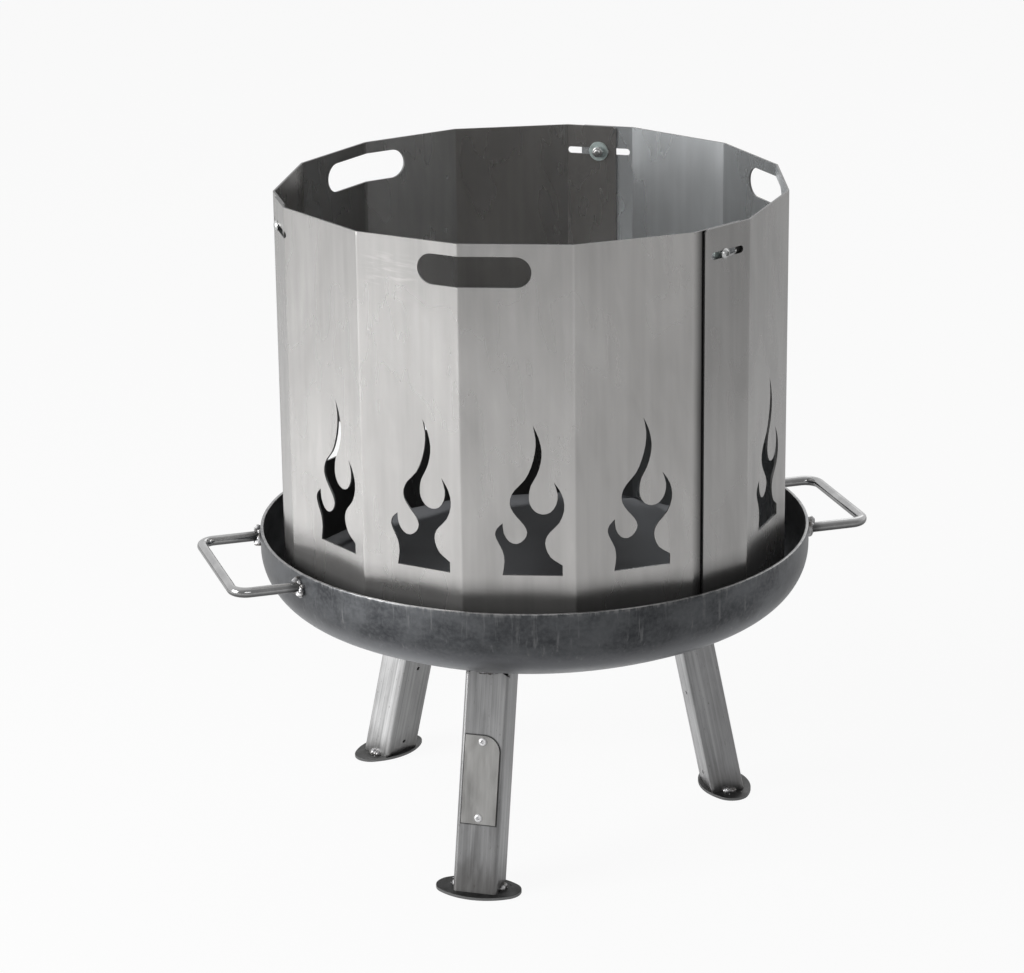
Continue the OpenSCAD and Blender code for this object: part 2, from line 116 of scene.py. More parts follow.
class Graph:
    """A material with one Principled shader, and short calls for the nodes before it."""

    def __init__(self, name, **sockets):
        self.material = bpy.data.materials.new(name)
        self.material.use_nodes = True
        self.tree = self.material.node_tree
        self.tree.nodes.clear()
        out = self.node("OutputMaterial")
        self.shader = self.node("BsdfPrincipled")
        self.tree.links.new(self.shader.outputs[0], out.inputs[0])
        for key, value in sockets.items():
            self.shader.inputs[key.replace("_", " ")].default_value = value
        self.coords = self.node("TexCoord").outputs["Object"]

    def node(self, kind):
        return self.tree.nodes.new("ShaderNode" + kind)

    def put(self, value, socket):
        if isinstance(value, bpy.types.NodeSocket):
            self.tree.links.new(value, socket)
        elif socket.type == "RGBA" and len(value) == 3:
            socket.default_value = (*value, 1)
        else:
            socket.default_value = value

    def turned(self, scale, turn=(0, 0, 0), start=(0, 0, 0)):
        """Object coordinates, taken in a turned frame with its own start, and stretched."""
        n = self.node("Mapping")
        n.vector_type = "TEXTURE"
        n.inputs["Location"].default_value = start
        n.inputs["Rotation"].default_value = turn
        n.inputs["Scale"].default_value = scale
        self.put(self.coords, n.inputs["Vector"])
        return n.outputs[0]

    def noise(self, where, detail, rough, bend, seed):
        n = self.node("TexNoise")
        n.noise_dimensions = "4D"
        self.put(where, n.inputs["Vector"])
        n.inputs["W"].default_value = seed
        n.inputs["Scale"].default_value = 1
        n.inputs["Detail"].default_value = detail
        n.inputs["Roughness"].default_value = rough
        n.inputs["Distortion"].default_value = bend
        return n.outputs["Fac"]

    def cells(self, where, seed):
        n = self.node("TexVoronoi")
        n.voronoi_dimensions = "4D"
        self.put(where, n.inputs["Vector"])
        n.inputs["W"].default_value = seed
        n.inputs["Scale"].default_value = 1
        return n.outputs["Distance"]

    def span(self, value, low, high, to_low=0.0, to_high=1.0):
        """A value taken from low..high to to_low..to_high, smoothly and clamped."""
        n = self.node("MapRange")
        n.interpolation_type = "SMOOTHSTEP"
        for v, key in ((value, "Value"), (low, "From Min"), (high, "From Max"),
                       (to_low, "To Min"), (to_high, "To Max")):
            self.put(v, n.inputs[key])
        return n.outputs[0]

    def math(self, kind, a, b=0.0):
        n = self.node("Math")
        n.operation = kind
        self.put(a, n.inputs[0])
        self.put(b, n.inputs[1])
        return n.outputs[0]

    def times(self, first, *others):
        for other in others:
            first = self.math("MULTIPLY", first, other)
        return first

    def mix(self, share, a, b, how="MIX"):
        n = self.node("Mix")
        n.data_type = "RGBA"
        n.blend_type = how
        self.put(share, n.inputs["Factor"])
        self.put(a, n.inputs[6])
        self.put(b, n.inputs[7])
        return n.outputs[2]

    def part(self, axis, where=None):
        n = self.node("SeparateXYZ")
        self.put(where or self.coords, n.inputs[0])
        return n.outputs[axis]

    def dot(self, a, b):
        n = self.node("VectorMath")
        n.operation = "DOT_PRODUCT"
        self.put(a, n.inputs[0])
        self.put(b, n.inputs[1])
        return n.outputs["Value"]

    def scaled(self, colour, share):
        n = self.node("VectorMath")
        n.operation = "SCALE"
        self.put(colour, n.inputs[0])
        self.put(share, n.inputs["Scale"])
        return n.outputs[0]

    def normal(self, kind="True Normal"):
        return self.node("NewGeometry").outputs[kind]

    def facing(self):
        """1 where the surface looks straight away from the middle axis, -1 where it looks at it."""
        out = self.node("VectorMath")
        out.operation = "MULTIPLY"
        self.put(self.coords, out.inputs[0])
        out.inputs[1].default_value = (1, 1, 0)
        unit = self.node("VectorMath")
        unit.operation = "NORMALIZE"
        self.put(out.outputs[0], unit.inputs[0])
        return self.dot(self.normal(), unit.outputs[0])

    def bump(self, height, strength, distance):
        n = self.node("Bump")
        n.inputs["Strength"].default_value = strength
        n.inputs["Distance"].default_value = distance
        self.put(height, n.inputs["Height"])
        self.put(n.outputs[0], self.shader.inputs["Normal"])

    def done(self, colour, rough):
        self.put(colour, self.shader.inputs["Base Color"])
        self.put(rough, self.shader.inputs["Roughness"])
        return self.material


def guard_steel(name, tone, seed, inside, shading):
    """Cold-rolled sheet as it comes from the mill, with soft upright streaks and wiped smudges, and painted
    light and shade by place on its inside, outside and cut edges.
    """
    g = Graph(name, Metallic=0.85)
    x, z, facing = g.part("X"), g.part("Z"), g.facing()
    clouds = g.noise(g.turned((0.070, 0.070, 0.16)), 2, 0.5, 0.6, seed)
    streaks = g.noise(g.turned((0.008, 0.008, 0.20)), 3, 0.5, 0.1, seed + 3)
    wipes = g.noise(g.turned((0.022, 0.022, 0.10), (0.10, -0.16, 0)), 3, 0.5, 0.3, seed + 9)
    marks = g.noise(g.turned((0.018, 0.018, 0.0008)), 1, 0.5, 0, seed + 13)
    shade = g.math("ADD", g.span(clouds, 0.28, 0.72, -0.07, 0.06), g.span(streaks, 0.28, 0.74, -0.035, 0.04))
    shade = g.math("ADD", shade, g.span(wipes, 0.46, 0.76, 0.0, -0.08))
    shade = g.math("ADD", shade, g.span(wipes, 0.46, 0.24, 0.0, 0.07))
    lines = g.times(g.span(marks, 0.74, 0.82), g.span(clouds, 0.50, 0.60))
    shade = g.math("ADD", shade, g.times(lines, 0.10))
    spots = g.span(g.cells(g.turned((0.026, 0.026, 0.034)), seed), 0.030, 0.018)
    specks = g.times(spots, g.span(wipes, 0.50, 0.60))
    colour = g.mix(g.math("ADD", shade, 0.5), tuple(0.5 * t for t in tone), tuple(1.5 * t for t in tone))

    # painted light and shade on the inside: a tone of its own for each sheet, painted shade behind one panel,
    # and darker towards the bottom
    panel_shade = g.times(g.span(x, LEFT_FOLD + 0.0013, LEFT_FOLD + 0.0048),
                   g.span(x, MID_FOLD + 0.0023, MID_FOLD - 0.0022))
    lit = g.scaled(g.mix(1.0, colour, inside, "MULTIPLY"), g.span(panel_shade, 0.0, 1.0, 1.0, 0.70))
    lit = g.scaled(lit, g.span(z, 0.46, 0.34, 1.0, 0.35))
    # painted light and shade outside: the sheet's own panel shading, and painted shade below the flames' feet
    outside = g.scaled(g.scaled(colour, shading(g)), g.span(z, FLAME_Z - 0.017, FLAME_Z, 0.76, 1.0))
    colour = g.mix(g.span(facing, -0.5, -0.9), outside, lit)
    colour = g.mix(g.times(specks, 0.75), colour, (0.10, 0.09, 0.08))
    # cut edges look neither outward nor inward; their dark tone is painted shade on the thin cut faces
    cut = g.span(g.math("ABSOLUTE", facing), 0.85, 0.65)
    colour = g.mix(cut, colour, (0.16, 0.16, 0.16))
    rough = g.math("ADD", g.span(clouds, 0.3, 0.7, 0.29, 0.25), g.span(wipes, 0.45, 0.8, 0, 0.05))
    return g.done(colour, g.math("ADD", rough, g.times(cut, 0.15)))


def front_shading(g):
    """Painted light and shade: darker towards the top, panels of their own tones, and a painted shadow beside
    the right sheet, where a painted black line runs along its edge.

    A patch beside the hand hole is rubbed bright, as in the photo."""
    x, z = g.part("X"), g.part("Z")
    share = g.span(z, 0.62, 0.34, 0.86, 1.10)
    panel = g.times(g.span(x, MID_FOLD - 0.0022, MID_FOLD + 0.0023),
                    g.span(x, RIGHT_FOLD + 0.0015, RIGHT_FOLD - 0.0030))
    share = g.times(share, g.span(panel, 0.0, 1.0, 1.0, 0.93))
    share = g.mix(g.span(x, RIGHT_FOLD - 0.0030, RIGHT_FOLD + 0.0015), share, (1.0, 1.0, 1.0))
    rubbed = g.noise(g.turned((0.030, 0.030, 0.0035), (0, 0.12, 0)), 3, 0.6, 0.6, 83)
    rubbed = g.times(g.span(rubbed, 0.46, 0.66), g.span(z, 0.606, 0.622),
                     g.span(x, -0.205, -0.185), g.span(x, -0.150, -0.165))
    share = g.math("ADD", share, g.times(rubbed, g.span(z, 0.648, 0.638, 0.0, 0.16)))
    # painted shadow beside the right sheet's edge, with a painted black line along it
    along = g.dot(g.coords, LAP_WAY)
    return g.times(share, g.span(x, LEFT_FOLD - 0.0017, LEFT_FOLD + 0.0021, 1.11, 0.95),
                   g.span(x, MID_FOLD - 0.0022, MID_FOLD + 0.0023, 1.0, 1.05),
                   g.span(along, SEAM - 0.0142, SEAM - 0.0017, 1.0, 0.30),
                   g.span(along, SEAM - 0.0028, SEAM - 0.0010, 1.0, 0.10))


def right_shading(g):
    """Painted shade: darker towards the top, most of all on the end panel beside the front sheet."""
    end = g.span(g.part("Y"), 0.0022 - FOLD_Y, -0.0023 - FOLD_Y, 1.0, 0.90)
    return g.times(g.span(g.part("Z"), 0.60, 0.36, 0.86, 1.08), end)


def even_shading(g):
    """No shading: the photo shows nothing of the back sheet's outside."""
    return 1.0


def bowl_steel():
    """Hot-rolled plate: dark mill scale, mottled, with a ground rim, and painted light and shade by place."""
    g = Graph("bowl_plate", Metallic=0.85)
    x, z = g.part("X"), g.part("Z")
    clouds = g.noise(g.turned((0.05, 0.05, 0.03)), 4, 0.55, 0.4, 1)
    grain = g.noise(g.turned((0.004, 0.004, 0.004)), 4, 0.6, 0, 2)
    drips = g.noise(g.turned((0.005, 0.005, 0.05)), 4, 0.65, 0.2, 4)
    colour = g.mix(g.span(clouds, 0.3, 0.7), (0.036, 0.038, 0.042), (0.094, 0.098, 0.104))
    colour = g.mix(g.span(grain, 0.35, 0.7, 0, 0.32), colour, (0.14, 0.143, 0.148))
    colour = g.mix(g.span(drips, 0.56, 0.74, 0, 0.4), colour, (0.24, 0.24, 0.243))
    # painted light: lighter low down and towards both sides
    colour = g.mix(g.span(z, 0.280, 0.240, 0, 0.85), colour, (0.25, 0.256, 0.270))
    colour = g.scaled(colour, g.span(x, 0.06, 0.22, 1.0, 1.9))
    colour = g.scaled(colour, g.span(x, -0.09, -0.18, 1.0, 1.50))

    # painted shade: the inside is darker, most of all in a painted shadow band under the guard's edge at the
    # left
    below_rim = g.span(z, RIM_Z - 0.0002, RIM_Z - 0.0010)
    inside = g.span(g.times(g.part("Z", g.normal()), below_rim), 0.1, 0.5)
    colour = g.scaled(colour, g.span(inside, 0.0, 1.0, 1.0, 0.85))
    shaded = g.times(g.span(z, 0.275, 0.262), g.span(z, 0.2415, 0.2445), g.span(x, -0.120, -0.150), inside)
    colour = g.scaled(colour, g.span(shaded, 0.0, 1.0, 1.0, 0.15))

    # the rim is ground bright, with scratches just below it
    ground = g.times(g.span(z, RIM_Z - 0.0008, RIM_Z - 0.0002), g.span(grain, 0.34, 0.60, 0.2, 1.0))
    scratched = g.times(g.span(z, RIM_Z - 0.0045, RIM_Z - 0.0003, 0, 0.5), g.span(drips, 0.48, 0.62))
    rim = g.math("MINIMUM", g.math("ADD", ground, scratched), 1.0)
    colour = g.mix(rim, colour, (0.31, 0.31, 0.31))
    rough = g.math("ADD", g.span(clouds, 0.3, 0.7, 0.27, 0.36), g.span(grain, 0.3, 0.7, 0, 0.08))
    g.bump(g.math("ADD", grain, g.times(clouds, 2.0)), 0.14, 0.0005)
    return g.done(colour, rough)


def plate_edge(g, rise, across, local):
    """How far a point of the front leg lies outside the outline of its plate."""
    tall = g.math("SUBTRACT", g.math("ABSOLUTE", rise), PLATE_H / 2)
    edge = g.math("MAXIMUM", tall, g.math("SUBTRACT", across, PLATE_W / 2))
    round_x = g.math("MAXIMUM", g.math("SUBTRACT", g.part("Y", local), PLATE_W / 2 - PLATE_R), 0.0)
    round_z = g.math("MAXIMUM", g.math("SUBTRACT", rise, PLATE_H / 2 - PLATE_R), 0.0)
    arc = g.math("SQRT", g.math("ADD", g.math("POWER", round_x, 2.0), g.math("POWER", round_z, 2.0)))
    return g.math("MAXIMUM", edge, g.math("SUBTRACT", arc, PLATE_R))


def leg_steel(which, tone, side_tone):
    """Bare rolled tube with lengthwise streaks, darker and mottled near the floor and at its corners, with
    painted light on its front and side faces and, on the front leg, a painted shadow round the name plate.
    """
    turn, reach, lean = LEGS[which]
    turn, lean = math.radians(turn), math.radians(lean)
    tilt, start = (0, -lean, turn), (reach * math.cos(turn), reach * math.sin(turn), 0)
    g = Graph("leg_tube_" + which, Metallic=1.0)
    clouds = g.noise(g.turned((0.022, 0.022, 0.09), tilt), 4, 0.6, 0.7, 7)
    lines = g.noise(g.turned((0.0026, 0.0026, 0.30), tilt), 4, 0.6, 0, 8)
    grain = g.noise(g.turned((0.0022, 0.0022, 0.007), tilt), 3, 0.6, 0, 9)
    local = g.turned((1, 1, 1), tilt, start)
    out, across = (g.math("ABSOLUTE", g.part(axis, local)) for axis in "XY")
    up = g.part("Z", local)
    # painted light: the front and side faces get tones of their own lighting
    flank = g.math("ABSOLUTE", g.dot(g.normal(), (-math.sin(turn), math.cos(turn), 0)))
    base = g.mix(g.span(flank, 0.4, 0.8), tone, side_tone)
    colour = g.mix(g.span(clouds, 0.34, 0.68), g.scaled(base, 0.74), base)
    colour = g.mix(g.span(lines, 0.40, 0.72, 0, 0.75), colour, g.scaled(base, 1.30))
    colour = g.mix(g.span(lines, 0.42, 0.28, 0, 0.6), colour, g.scaled(base, 0.62))
    corner = g.math("MAXIMUM", g.math("SUBTRACT", LEG_T / 2, out), g.math("SUBTRACT", LEG_W / 2, across))
    colour = g.scaled(colour, g.span(corner, 0.0010, 0.0030, 0.85, 1.0))
    low = g.math("ADD", up, g.times(clouds, 0.06))
    colour = g.mix(g.span(low, 0.075, 0.030, 0, 0.6), colour, (0.14, 0.135, 0.13))
    colour = g.mix(g.span(grain, 0.62, 0.75, 0, 0.6), colour, (0.10, 0.09, 0.08))
    if which == "front":
        # painted shadow: a dark line round the name plate
        edge = plate_edge(g, g.math("SUBTRACT", up, PLATE_UP), across, local)
        colour = g.scaled(colour, g.span(edge, 0.0002, 0.0020, 0.20, 1.0))
    g.bump(g.math("ADD", lines, grain), 0.12, 0.0003)
    return g.done(colour, g.span(clouds, 0.3, 0.7, 0.30, 0.42))


def foot_steel():
    """Dark plate with a lighter cut edge."""
    g = Graph("foot_plate", Metallic=0.9)
    clouds = g.noise(g.turned((0.018, 0.018, 0.018)), 5, 0.6, 0.6, 11)
    grain = g.noise(g.turned((0.002, 0.002, 0.002)), 4, 0.6, 0, 12)
    colour = g.mix(g.span(clouds, 0.3, 0.7), (0.026, 0.026, 0.025), (0.068, 0.068, 0.068))
    colour = g.mix(g.span(grain, 0.5, 0.75, 0, 0.4), colour, (0.15, 0.15, 0.15))
    side = g.span(g.math("ABSOLUTE", g.part("Z", g.normal("Normal"))), 0.75, 0.35)
    colour = g.mix(side, colour, (0.20, 0.20, 0.20))
    g.bump(grain, 0.25, 0.0003)
    return g.done(colour, g.span(grain, 0.3, 0.7, 0.36, 0.5))


def bar_steel():
    """Bright drawn bar, with painted shade beside the bowl and on its underside."""
    g = Graph("handle_bar", Metallic=1.0)
    clouds = g.noise(g.turned((0.03, 0.03, 0.03)), 4, 0.6, 0.5, 15)
    fine = g.noise(g.turned((0.0015, 0.0015, 0.0015)), 3, 0.6, 0, 16)
    colour = g.mix(g.span(clouds, 0.3, 0.7), (0.34, 0.34, 0.342), (0.46, 0.46, 0.46))
    colour = g.mix(g.span(fine, 0.6, 0.75, 0, 0.4), colour, (0.20, 0.195, 0.19))
    reach = g.math("SQRT", g.math("ADD", *(g.math("POWER", g.part(axis), 2.0) for axis in "XY")))
    # painted shade at the bar's roots beside the bowl
    root_shade = g.math("ADD", reach, g.times(clouds, 0.01))
    colour = g.scaled(colour, g.span(root_shade, BOWL_R + 0.009, BOWL_R + 0.022, 0.35, 1.0))
    # painted shade on the bar's underside
    up = g.part("Z", g.normal("Normal"))
    colour = g.scaled(colour, g.span(up, 0.2, -0.5, 1.0, 0.32))
    g.bump(fine, 0.08, 0.0002)
    return g.done(colour, g.span(clouds, 0.3, 0.7, 0.10, 0.17))


def weld_metal(name, bright, dark, seed):
    """Mottled weld metal with brown specks."""
    g = Graph(name, Metallic=1.0)
    clouds = g.noise(g.turned((0.006, 0.006, 0.006)), 4, 0.6, 0.6, seed)
    fine = g.noise(g.turned((0.0012, 0.0012, 0.0012)), 3, 0.6, 0, seed + 1)
    colour = g.mix(g.span(clouds, 0.35, 0.65), dark, bright)
    colour = g.mix(g.span(fine, 0.55, 0.75, 0, 0.5), colour, (0.16, 0.13, 0.11))
    g.bump(fine, 0.35, 0.0003)
    return g.done(colour, g.span(clouds, 0.3, 0.7, 0.46, 0.32))


def plate_steel():
    """Bare rolled sheet with lengthwise lines."""
    g = Graph("plate_sheet", Metallic=1.0)
    tilt = (0, -math.radians(LEGS["front"][2]), math.radians(LEGS["front"][0]))
    clouds = g.noise(g.turned((0.012, 0.012, 0.05), tilt), 3, 0.6, 0.4, 21)
    lines = g.noise(g.turned((0.0016, 0.0016, 0.10), tilt), 4, 0.6, 0, 22)
    colour = g.mix(g.span(clouds, 0.3, 0.7), (0.37, 0.365, 0.355), (0.44, 0.435, 0.425))
    colour = g.mix(g.span(lines, 0.45, 0.75, 0, 0.35), colour, (0.52, 0.52, 0.51))
    g.bump(lines, 0.12, 0.0002)
    return g.done(colour, g.span(clouds, 0.3, 0.7, 0.30, 0.40))


def rivet_metal():
    """Pale aluminium."""
    g = Graph("rivet_metal", Metallic=0.5)
    fine = g.noise(g.turned((0.001, 0.001, 0.001)), 3, 0.6, 0, 25)
    colour = g.mix(g.span(fine, 0.4, 0.7), (0.90, 0.90, 0.91), (0.70, 0.70, 0.70))
    g.bump(fine, 0.15, 0.0002)
    return g.done(colour, g.span(fine, 0.3, 0.7, 0.24, 0.36))


def zinc(name, tone, rough, metallic=1.0):
    """Zinc plating, slightly mottled; in near-black it is the painted shade of sockets and holes."""
    g = Graph(name, Metallic=metallic)
    clouds = g.noise(g.turned((0.004, 0.004, 0.004)), 4, 0.6, 0, 31)
    fine = g.noise(g.turned((0.0007, 0.0007, 0.0007)), 3, 0.6, 0, 32)
    colour = g.mix(g.span(clouds, 0.35, 0.7), tone, tuple(0.75 * t for t in tone))
    g.bump(fine, 0.2, 0.0002)
    return g.done(colour, g.span(fine, 0.3, 0.7, rough, rough + 0.12))


looks = {
    "bowl_plate": bowl_steel(),
    # each leg's two tones are painted light on its front and side faces
    "leg_front": leg_steel("front", (0.31, 0.31, 0.312), (0.42, 0.42, 0.423)),
    "leg_right": leg_steel("right", (0.72, 0.72, 0.725), (0.33, 0.33, 0.334)),
    "leg_left": leg_steel("left", (0.37, 0.37, 0.37), (0.79, 0.79, 0.79)),
    "foot_plate": foot_steel(),
    "handle_bar": bar_steel(),
    "bright_weld": weld_metal("bright_weld", (0.56, 0.56, 0.57), (0.16, 0.15, 0.14), 41),
    "dark_weld": weld_metal("dark_weld", (0.30, 0.30, 0.31), (0.10, 0.095, 0.09), 45),
    "plate_sheet": plate_steel(),
    "rivet_metal": rivet_metal(),
    "zinc": zinc("zinc", (0.66, 0.665, 0.66), 0.24),
    "washer": zinc("zinc_washer", (0.46, 0.53, 0.515), 0.42, 0.7),
    # near-black: painted shade in the bolts' sockets and the rivets' open middles
    "socket": zinc("socket", (0.06, 0.06, 0.06), 0.5),
    # the third tone is painted light on each sheet's inside: lighter on the right sheet, darker on the front
    # and back
    "wall_front": guard_steel("guard_front", (0.55, 0.540, 0.530), 51, (0.60, 0.59, 0.58), front_shading),
    "wall_right": guard_steel("guard_right", (0.52, 0.512, 0.504), 61, (1.50, 1.58, 1.64), right_shading),
    "wall_back": guard_steel("guard_back", (0.52, 0.512, 0.504), 71, (0.70, 0.69, 0.68), even_shading),
}
slots = {row["node"]: row["material_slot"] for row in frame["record"]["subparts"]}
for name, obj in nodes.items():
    look = looks.get(name) or looks[slots[name]]
    for slot in obj.material_slots:
        slot.material = look


# Pieces

MM = 0.001
random.seed(7)


def finish_piece(name, mesh, node, look, sharp):
    """Puts a finished mesh in the place of a node, with edges above an angle left sharp."""
    mesh.materials.clear()
    mesh.materials.append(look)
    for face in mesh.polygons:
        face.use_smooth = True
    mesh.set_sharp_from_angle(angle=math.radians(sharp))
    obj = bpy.data.objects.new(name, mesh)
    scene.collection.objects.link(obj)
    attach(obj, node_body[node])
    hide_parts(node)
    return obj


def weighted(obj):
    m = obj.modifiers.new("even_normals", "WEIGHTED_NORMAL")
    m.keep_sharp = True
    m.weight = 100
    return obj


def to_mesh(name, bm, outward=True):
    """The finished mesh, with its faces turned outward where that is asked for."""
    if outward:
        bmesh.ops.recalc_face_normals(bm, faces=bm.faces)
    mesh = bpy.data.meshes.new(name)
    bm.normal_update()
    bm.to_mesh(mesh)
    bm.free()
    return mesh


def node_solid(name, place=Matrix()):
    """A node's own mesh, moved, with doubled points merged and the parts of flat faces joined."""
    bm = bmesh.new()
    bm.from_mesh(nodes[name].data)
    bm.transform(place)
    bmesh.ops.remove_doubles(bm, verts=bm.verts, dist=2e-6)
    bmesh.ops.dissolve_limit(bm, angle_limit=math.radians(0.3), verts=bm.verts, edges=bm.edges)
    return bm


def polar(r, a, z=0.0):
    """A point at a radius, an angle and a height."""
    return Vector((r * math.cos(a), r * math.sin(a), z))


def circle(r, z, steps):
    return [polar(r, 2 * math.pi * i / steps, z) for i in range(steps)]


def hexagon(flats, bound, turn, z, steps):
    """Points round a hexagon of a size over its flats, whose corners are cut off at a radius."""
    points = []
    for i in range(steps):
        a = 2 * math.pi * i / steps
        local = (a - turn) % (math.pi / 3) - math.pi / 6
        points.append(polar(min(flats / 2 / math.cos(local), bound), a, z))
    return points


def lathe(bm, profile, steps, place=Matrix(), wobble=None):
    """Turns (radius, height) points about Z; a radius of 0 ends in a point."""
    rings = []
    for k, (r, z) in enumerate(profile):
        if r < 1e-9:
            rings.append([bm.verts.new(place @ Vector((0, 0, z)))])
            continue
        points = [wobble(p, k) if wobble else p for p in circle(r, z, steps)]
        rings.append([bm.verts.new(place @ p) for p in points])
    for a, b in zip(rings, rings[1:]):
        for i in range(steps):
            j = (i + 1) % steps
            if len(a) == 1:
                bm.faces.new((a[0], b[i], b[j]))
            elif len(b) == 1:
                bm.faces.new((a[i], b[0], a[j]))
            else:
                bm.faces.new((a[i], b[i], b[j], a[j]))
    return rings


def loft(bm, rings, closed_ends=True):
    """Joins rings of equal length, and closes both ends if asked."""
    made = [[bm.verts.new(p) for p in ring] for ring in rings]
    n = len(made[0])
    for a, b in zip(made, made[1:]):
        for i in range(n):
            bm.faces.new((a[i], a[(i + 1) % n], b[(i + 1) % n], b[i]))
    if closed_ends:
        bm.faces.new(list(reversed(made[0])))
        bm.faces.new(made[-1])


# The bowl

def bowl_side(inset):
    """One side of the plate from the middle to below the rim, set in by a distance."""
    line = []
    for k in range(29):
        a = -math.pi / 2 + (MEET + math.pi / 2) * k / 28
        line.append(((CROWN - inset) * math.cos(a), CROWN_Z + (CROWN - inset) * math.sin(a)))
    line[0] = (0, line[0][1])
    for k in range(1, 17):
        a = MEET * (1 - k / 16)
        line.append((BOWL_R - KNUCKLE + (KNUCKLE - inset) * math.cos(a),
                     KNUCKLE_Z + (KNUCKLE - inset) * math.sin(a)))
    for h in (0.006, 0.012, 0.016, 0.0185):
        line.append((BOWL_R - inset, KNUCKLE_Z + h))
    return line


def bowl_piece():
    """A dished plate with a ground, slightly chipped rim."""
    outer, inner = bowl_side(0), bowl_side(PLATE)
    edge = 0.0005
    rim = [(BOWL_R, RIM_Z - edge), (BOWL_R - 0.3 * edge, RIM_Z - 0.3 * edge), (BOWL_R - edge, RIM_Z),
           (BOWL_R - PLATE / 2, RIM_Z), (BOWL_R - PLATE + edge, RIM_Z),
           (BOWL_R - PLATE + 0.3 * edge, RIM_Z - 0.3 * edge), (BOWL_R - PLATE, RIM_Z - edge)]
    first = len(outer)

    def wobble(p, k):
        """Small chips and waves along the rim only."""
        if k < first or k >= first + len(rim):
            return p
        a = math.atan2(p.y, p.x)
        q = Vector((9 * math.cos(a), 9 * math.sin(a), 3))
        chip = max(0.0, noise.noise(q * 9) - 0.22) * 1.1 + max(0.0, noise.noise(q * 2.3) - 0.3) * 0.5
        out = noise.noise(q * 5 + Vector((0, 0, 11))) * 0.12
        r = 1 - (chip * 0.35 + 0.12 - out) * MM / BOWL_R
        return Vector((p.x * r, p.y * r, p.z - chip * 0.8 * MM))

    bm = bmesh.new()
    lathe(bm, outer + rim + list(reversed(inner)), 360, wobble=wobble)
    return finish_piece("bowl_dish", to_mesh("bowl_dish", bm), "bowl", looks["bowl_plate"], 40)


# The wind guard

def along(i):
    """The direction in which panel i of a sheet runs; the middle fold is between panels 2 and 3."""
    return polar(1, math.pi / 2 + 2 * HALF * (i - 2.5))


def sheet_piece(name):
    """The node's sheet with its sharp folds rolled to a real bend radius."""
    turn, place = SHEETS[name]
    to_world = Matrix.Rotation(math.radians(turn), 4, "Z")
    to_world.translation = Vector((*place, 0))
    bm = node_solid(name, to_world.inverted())
    middle = Vector((FOLD_R, 0, 0))
    folds = {2: middle - along(2) * PANEL_MID, 3: middle, 4: middle + along(3) * PANEL_MID}
    folds[1] = folds[2] - along(1) * PANEL_OUT
    folds[5] = folds[4] + along(4) * PANEL_OUT
    reach = BEND * math.tan(HALF)
    for k, at in folds.items():
        for way in (-along(k - 1), along(k)):
            for share in (1.0, 0.66, 0.33):
                bmesh.ops.bisect_plane(bm, geom=bm.verts[:] + bm.edges[:] + bm.faces[:], dist=1e-7,
                                       plane_co=at + way * reach * share, plane_no=way)
    for v in bm.verts:
        flat = Vector((v.co.x, v.co.y, 0))
        k = min(folds, key=lambda j: (folds[j] - flat).length)
        at = folds[k]
        if (at - flat).length > 0.02:
            continue
        out = (along(k - 1) + along(k)).normalized().cross(Vector((0, 0, 1)))
        centre = at - out * BEND / math.cos(HALF)
        side = -1 if (flat - at).dot(along(k - 1) + along(k)) < 0 else 1
        way = along(k - 1) if side < 0 else along(k)
        face_out = way.cross(Vector((0, 0, 1)))
        depth = (at - flat).dot(face_out)
        gone = reach - abs((flat - at).dot(way))
        if gone <= 1e-6:
            continue
        share = min(1.0, gone / (reach - depth * math.tan(HALF)))
        start = math.atan2(face_out.y, face_out.x)
        a = start - side * HALF * share
        r = BEND - depth
        v.co = Vector((centre.x, centre.y, v.co.z)) + polar(r, a)
    bmesh.ops.triangulate(bm, faces=[f for f in bm.faces if len(f.verts) > 4])
    bm.transform(to_world)
    mesh = to_mesh(name, bm, False)
    return weighted(finish_piece(name + "_folded", mesh, name, looks[name], 30))


# Weld beads

def bead(bm, line, radius, rings, around, ripple, rough, seed, up=Vector((0, 0, 1))):
    """A lumpy bead along a line of points, with rounded ends and the ripples of the weld pool."""
    total = [0.0]
    for a, b in zip(line, line[1:]):
        total.append(total[-1] + (b - a).length)
    made = []
    for k in range(rings + 1):
        t = 0.5 - 0.5 * math.cos(math.pi * k / rings)
        s = t * total[-1]
        i = max(j for j in range(len(line) - 1) if total[j] <= s + 1e-12)
        p = line[i].lerp(line[i + 1], (s - total[i]) / max(1e-9, total[i + 1] - total[i]))
        d = (line[i + 1] - line[i]).normalized()
        x = d.cross(up).normalized()
        y = x.cross(d)
        end = max(0.0, 1 - abs(2 * t - 1) ** 3.2) ** 0.5
        r = radius * (0.04 + 0.96 * end) * (1 + ripple * math.sin(s * 2 * math.pi / (0.55 * radius) + seed))
        ring = []
        for n in range(around):
            a = 2 * math.pi * n / around
            q = x * math.cos(a) + y * math.sin(a)
            lump = noise.noise(p * 260 + q * 1.3 + Vector((seed * 3.1, 0, 0)))
            fine = noise.noise(p * 900 + q * 3.1 + Vector((0, seed * 1.7, 0)))
            ring.append(p + q * r * (1 + rough * lump + 0.4 * rough * fine))
        made.append(ring)
    loft(bm, made)


def leg_frame(which):
    """A frame on the floor in the middle of a leg, with Z up along the leg and X outward."""
    turn, reach, lean = LEGS[which]
    return (Matrix.Rotation(math.radians(turn), 4, "Z") @ Matrix.Translation((reach, 0, 0))
            @ Matrix.Rotation(math.radians(-lean), 4, "Y"))


def leg_top(which, x):
    """How far up a leg the bowl is met, at a distance x outward from the leg's middle."""
    reach, lean = LEGS[which][1:]
    s, c = math.sin(math.radians(lean)), math.cos(math.radians(lean))
    b = -reach * s - CROWN_Z * c
    rest = reach ** 2 + CROWN_Z ** 2 + x * x + 2 * x * (reach * c - CROWN_Z * s) - CROWN ** 2
    return -b - math.sqrt(b * b - rest)


